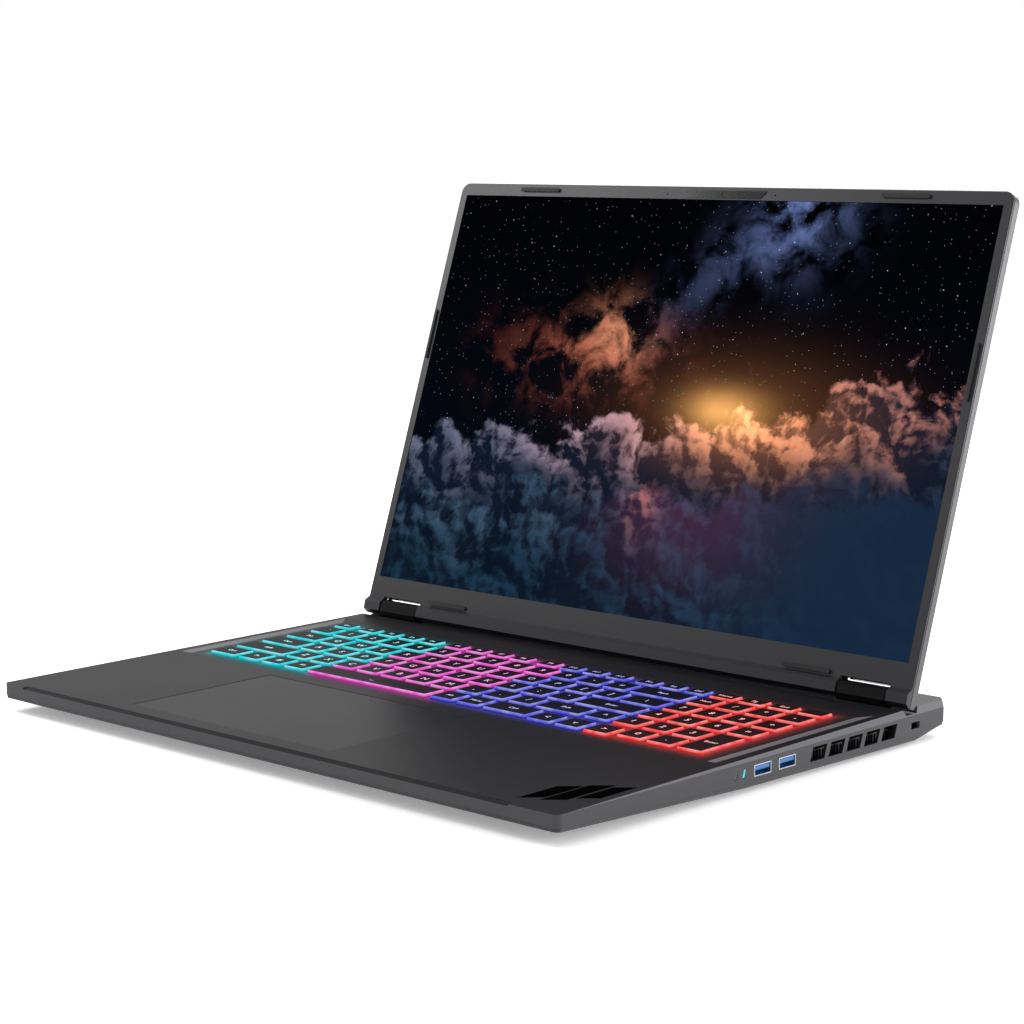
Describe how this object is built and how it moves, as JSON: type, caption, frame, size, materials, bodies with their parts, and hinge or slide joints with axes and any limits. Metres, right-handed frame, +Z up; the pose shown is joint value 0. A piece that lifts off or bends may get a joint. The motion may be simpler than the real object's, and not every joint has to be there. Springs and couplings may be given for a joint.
{
  "type": "laptop computer",
  "caption": "Large notebook computer, open, with a thin-bezel display lid on twin hinges, a backlit keyboard with number pad, an offset touchpad and side ports and vents.",
  "frame": {"origin": "on the table under the middle of the bounding box of the open computer", "axes": "+X to the user's right along the hinge axis, +Y away from the user, +Z up"},
  "size_m": [0.4024, 0.359, 0.2775],
  "materials": {
    "deck_metal": "fine matte dark grey paint over pressed metal",
    "lid_metal": "satin grey paint over pressed metal",
    "base_plastic": "matte black",
    "screw_steel": "dark plated",
    "rubber": "matte black",
    "light_film": "translucent white light guide, lit from inside",
    "plate_steel": "plain pressed sheet",
    "key_plastic": "matte black with lit edges",
    "touchpad_glass": "etched dark glass, opaque",
    "battery_wrap": "black wrap",
    "circuit_board": "solder resist",
    "copper": "bare copper",
    "fin_metal": "bare",
    "fan_plastic": "matte black",
    "rotor_plastic": "matte dark grey",
    "module_board": "solder resist with black chips",
    "speaker_plastic": "matte black",
    "port_metal": "bright plated shells",
    "port_blue": "blue",
    "port_black": "matte black",
    "light_lens": "clear lens, lit",
    "hinge_steel": "machined",
    "trim_plastic": "satin black",
    "bezel_plastic": "satin black",
    "panel_back": "dark frame",
    "screen_glass": "matte display face, opaque",
    "lens_black": "gloss black",
    "window_gloss": "gloss black"
  },
  "bodies": {
    "base": {"upper_case": "deck_metal", "bottom_cover": "base_plastic", "case_screws": "screw_steel", "rubber_feet": "rubber", "keyboard_backlight": "light_film", "keyboard_plate": "plate_steel", "touchpad_bracket": "plate_steel", "battery_pack": "battery_wrap", "motherboard": "circuit_board", "heat_pipes": "copper", "heatsink_fins": "fin_metal", "fan_left_housing": "fan_plastic", "fan_right_housing": "fan_plastic", "memory_modules": "module_board", "ssd_modules": "module_board", "wireless_card": "module_board", "speakers": "speaker_plastic", "port_shells": "port_metal", "port_tongues": "port_blue", "audio_jack": "port_black", "power_inlet": "port_metal", "status_lights": "light_lens", "hinge_brackets": "hinge_steel", "hinge_covers": "trim_plastic"},
    "lid": {"lid_back_cover": "lid_metal", "lid_bezel": "bezel_plastic", "lcd_panel": "panel_back", "screen_glass": "screen_glass", "webcam_module": "lens_black", "webcam_window": "window_gloss", "lid_rubber_stops": "rubber", "hinge_arms": "hinge_steel"},
    "fan_left": {"fan_left_rotor": "rotor_plastic"},
    "fan_right": {"fan_right_rotor": "rotor_plastic"},
    "touchpad": {"touchpad": "touchpad_glass"},
    "function_row_keys_left": {"function_row_keys_left": "key_plastic"},
    "function_row_keys_middle": {"function_row_keys_middle": "key_plastic"},
    "function_row_keys_right": {"function_row_keys_right": "key_plastic"},
    "function_row_keys_numpad": {"function_row_keys_numpad": "key_plastic"},
    "number_row_keys_left": {"number_row_keys_left": "key_plastic"},
    "number_row_keys_middle": {"number_row_keys_middle": "key_plastic"},
    "number_row_keys_right": {"number_row_keys_right": "key_plastic"},
    "number_row_keys_numpad": {"number_row_keys_numpad": "key_plastic"},
    "upper_row_keys_left": {"upper_row_keys_left": "key_plastic"},
    "upper_row_keys_middle": {"upper_row_keys_middle": "key_plastic"},
    "upper_row_keys_right": {"upper_row_keys_right": "key_plastic"},
    "upper_row_keys_numpad": {"upper_row_keys_numpad": "key_plastic"},
    "home_row_keys_left": {"home_row_keys_left": "key_plastic"},
    "home_row_keys_middle": {"home_row_keys_middle": "key_plastic"},
    "home_row_keys_right": {"home_row_keys_right": "key_plastic"},
    "home_row_keys_numpad": {"home_row_keys_numpad": "key_plastic"},
    "lower_row_keys_left": {"lower_row_keys_left": "key_plastic"},
    "lower_row_keys_middle": {"lower_row_keys_middle": "key_plastic"},
    "lower_row_keys_right": {"lower_row_keys_right": "key_plastic"},
    "lower_row_keys_numpad": {"lower_row_keys_numpad": "key_plastic"},
    "space_row_keys_left": {"space_row_keys_left": "key_plastic"},
    "space_row_keys_middle": {"space_row_keys_middle": "key_plastic"},
    "space_row_keys_right": {"space_row_keys_right": "key_plastic"},
    "space_row_keys_numpad": {"space_row_keys_numpad": "key_plastic"},
    "power_button": {"power_button": "key_plastic"}
  },
  "joints": [
    {"name": "display_hinge", "type": "hinge", "parent": "base", "child": "lid", "pos_m": [0, 0.08954, 0.02189], "axis": [1, 0, 0], "range_deg": [-31.5, 109.2]},
    {"name": "fan_left_spin", "type": "hinge", "parent": "base", "child": "fan_left", "pos_m": [-0.128, 0.03654, 0.0066], "axis": [0, 0, 1], "continuous": true},
    {"name": "fan_right_spin", "type": "hinge", "parent": "base", "child": "fan_right", "pos_m": [0.128, 0.03654, 0.0066], "axis": [0, 0, 1], "continuous": true},
    {"name": "touchpad_press", "type": "hinge", "parent": "base", "child": "touchpad", "pos_m": [-0.0332, -0.07166, 0.01507], "axis": [1, 0, 0], "range_deg": [0, 0.305], "stiffness_Nm_per_rad": 34, "springref_deg": -0.57},
    {"name": "function_row_keys_left_press", "type": "slide", "parent": "base", "child": "function_row_keys_left", "axis": [0, 0.0122, -0.9999], "range_m": [0, 0.0014], "stiffness_N_per_m": 400, "springref_m": -0.001},
    {"name": "function_row_keys_middle_press", "type": "slide", "parent": "base", "child": "function_row_keys_middle", "axis": [0, 0.0122, -0.9999], "range_m": [0, 0.0014], "stiffness_N_per_m": 400, "springref_m": -0.001},
    {"name": "function_row_keys_right_press", "type": "slide", "parent": "base", "child": "function_row_keys_right", "axis": [0, 0.0122, -0.9999], "range_m": [0, 0.0014], "stiffness_N_per_m": 400, "springref_m": -0.001},
    {"name": "function_row_keys_numpad_press", "type": "slide", "parent": "base", "child": "function_row_keys_numpad", "axis": [0, 0.0122, -0.9999], "range_m": [0, 0.0014], "stiffness_N_per_m": 400, "springref_m": -0.001},
    {"name": "number_row_keys_left_press", "type": "slide", "parent": "base", "child": "number_row_keys_left", "axis": [0, 0.0122, -0.9999], "range_m": [0, 0.0014], "stiffness_N_per_m": 400, "springref_m": -0.001},
    {"name": "number_row_keys_middle_press", "type": "slide", "parent": "base", "child": "number_row_keys_middle", "axis": [0, 0.0122, -0.9999], "range_m": [0, 0.0014], "stiffness_N_per_m": 400, "springref_m": -0.001},
    {"name": "number_row_keys_right_press", "type": "slide", "parent": "base", "child": "number_row_keys_right", "axis": [0, 0.0122, -0.9999], "range_m": [0, 0.0014], "stiffness_N_per_m": 400, "springref_m": -0.001},
    {"name": "number_row_keys_numpad_press", "type": "slide", "parent": "base", "child": "number_row_keys_numpad", "axis": [0, 0.0122, -0.9999], "range_m": [0, 0.0014], "stiffness_N_per_m": 400, "springref_m": -0.001},
    {"name": "upper_row_keys_left_press", "type": "slide", "parent": "base", "child": "upper_row_keys_left", "axis": [0, 0.0122, -0.9999], "range_m": [0, 0.0014], "stiffness_N_per_m": 400, "springref_m": -0.001},
    {"name": "upper_row_keys_middle_press", "type": "slide", "parent": "base", "child": "upper_row_keys_middle", "axis": [0, 0.0122, -0.9999], "range_m": [0, 0.0014], "stiffness_N_per_m": 400, "springref_m": -0.001},
    {"name": "upper_row_keys_right_press", "type": "slide", "parent": "base", "child": "upper_row_keys_right", "axis": [0, 0.0122, -0.9999], "range_m": [0, 0.0014], "stiffness_N_per_m": 400, "springref_m": -0.001},
    {"name": "upper_row_keys_numpad_press", "type": "slide", "parent": "base", "child": "upper_row_keys_numpad", "axis": [0, 0.0122, -0.9999], "range_m": [0, 0.0014], "stiffness_N_per_m": 400, "springref_m": -0.001},
    {"name": "home_row_keys_left_press", "type": "slide", "parent": "base", "child": "home_row_keys_left", "axis": [0, 0.0122, -0.9999], "range_m": [0, 0.0014], "stiffness_N_per_m": 400, "springref_m": -0.001},
    {"name": "home_row_keys_middle_press", "type": "slide", "parent": "base", "child": "home_row_keys_middle", "axis": [0, 0.0122, -0.9999], "range_m": [0, 0.0014], "stiffness_N_per_m": 400, "springref_m": -0.001},
    {"name": "home_row_keys_right_press", "type": "slide", "parent": "base", "child": "home_row_keys_right", "axis": [0, 0.0122, -0.9999], "range_m": [0, 0.0014], "stiffness_N_per_m": 400, "springref_m": -0.001},
    {"name": "home_row_keys_numpad_press", "type": "slide", "parent": "base", "child": "home_row_keys_numpad", "axis": [0, 0.0122, -0.9999], "range_m": [0, 0.0014], "stiffness_N_per_m": 400, "springref_m": -0.001},
    {"name": "lower_row_keys_left_press", "type": "slide", "parent": "base", "child": "lower_row_keys_left", "axis": [0, 0.0122, -0.9999], "range_m": [0, 0.0014], "stiffness_N_per_m": 400, "springref_m": -0.001},
    {"name": "lower_row_keys_middle_press", "type": "slide", "parent": "base", "child": "lower_row_keys_middle", "axis": [0, 0.0122, -0.9999], "range_m": [0, 0.0014], "stiffness_N_per_m": 400, "springref_m": -0.001},
    {"name": "lower_row_keys_right_press", "type": "slide", "parent": "base", "child": "lower_row_keys_right", "axis": [0, 0.0122, -0.9999], "range_m": [0, 0.0014], "stiffness_N_per_m": 400, "springref_m": -0.001},
    {"name": "lower_row_keys_numpad_press", "type": "slide", "parent": "base", "child": "lower_row_keys_numpad", "axis": [0, 0.0122, -0.9999], "range_m": [0, 0.0014], "stiffness_N_per_m": 400, "springref_m": -0.001},
    {"name": "space_row_keys_left_press", "type": "slide", "parent": "base", "child": "space_row_keys_left", "axis": [0, 0.0122, -0.9999], "range_m": [0, 0.0014], "stiffness_N_per_m": 400, "springref_m": -0.001},
    {"name": "space_row_keys_middle_press", "type": "slide", "parent": "base", "child": "space_row_keys_middle", "axis": [0, 0.0122, -0.9999], "range_m": [0, 0.0014], "stiffness_N_per_m": 400, "springref_m": -0.001},
    {"name": "space_row_keys_right_press", "type": "slide", "parent": "base", "child": "space_row_keys_right", "axis": [0, 0.0122, -0.9999], "range_m": [0, 0.0014], "stiffness_N_per_m": 400, "springref_m": -0.001},
    {"name": "space_row_keys_numpad_press", "type": "slide", "parent": "base", "child": "space_row_keys_numpad", "axis": [0, 0.0122, -0.9999], "range_m": [0, 0.0014], "stiffness_N_per_m": 400, "springref_m": -0.001},
    {"name": "power_button_press", "type": "slide", "parent": "base", "child": "power_button", "axis": [0, 0.0122, -0.9999], "range_m": [0, 0.0008], "stiffness_N_per_m": 400, "springref_m": -0.001}
  ]
}
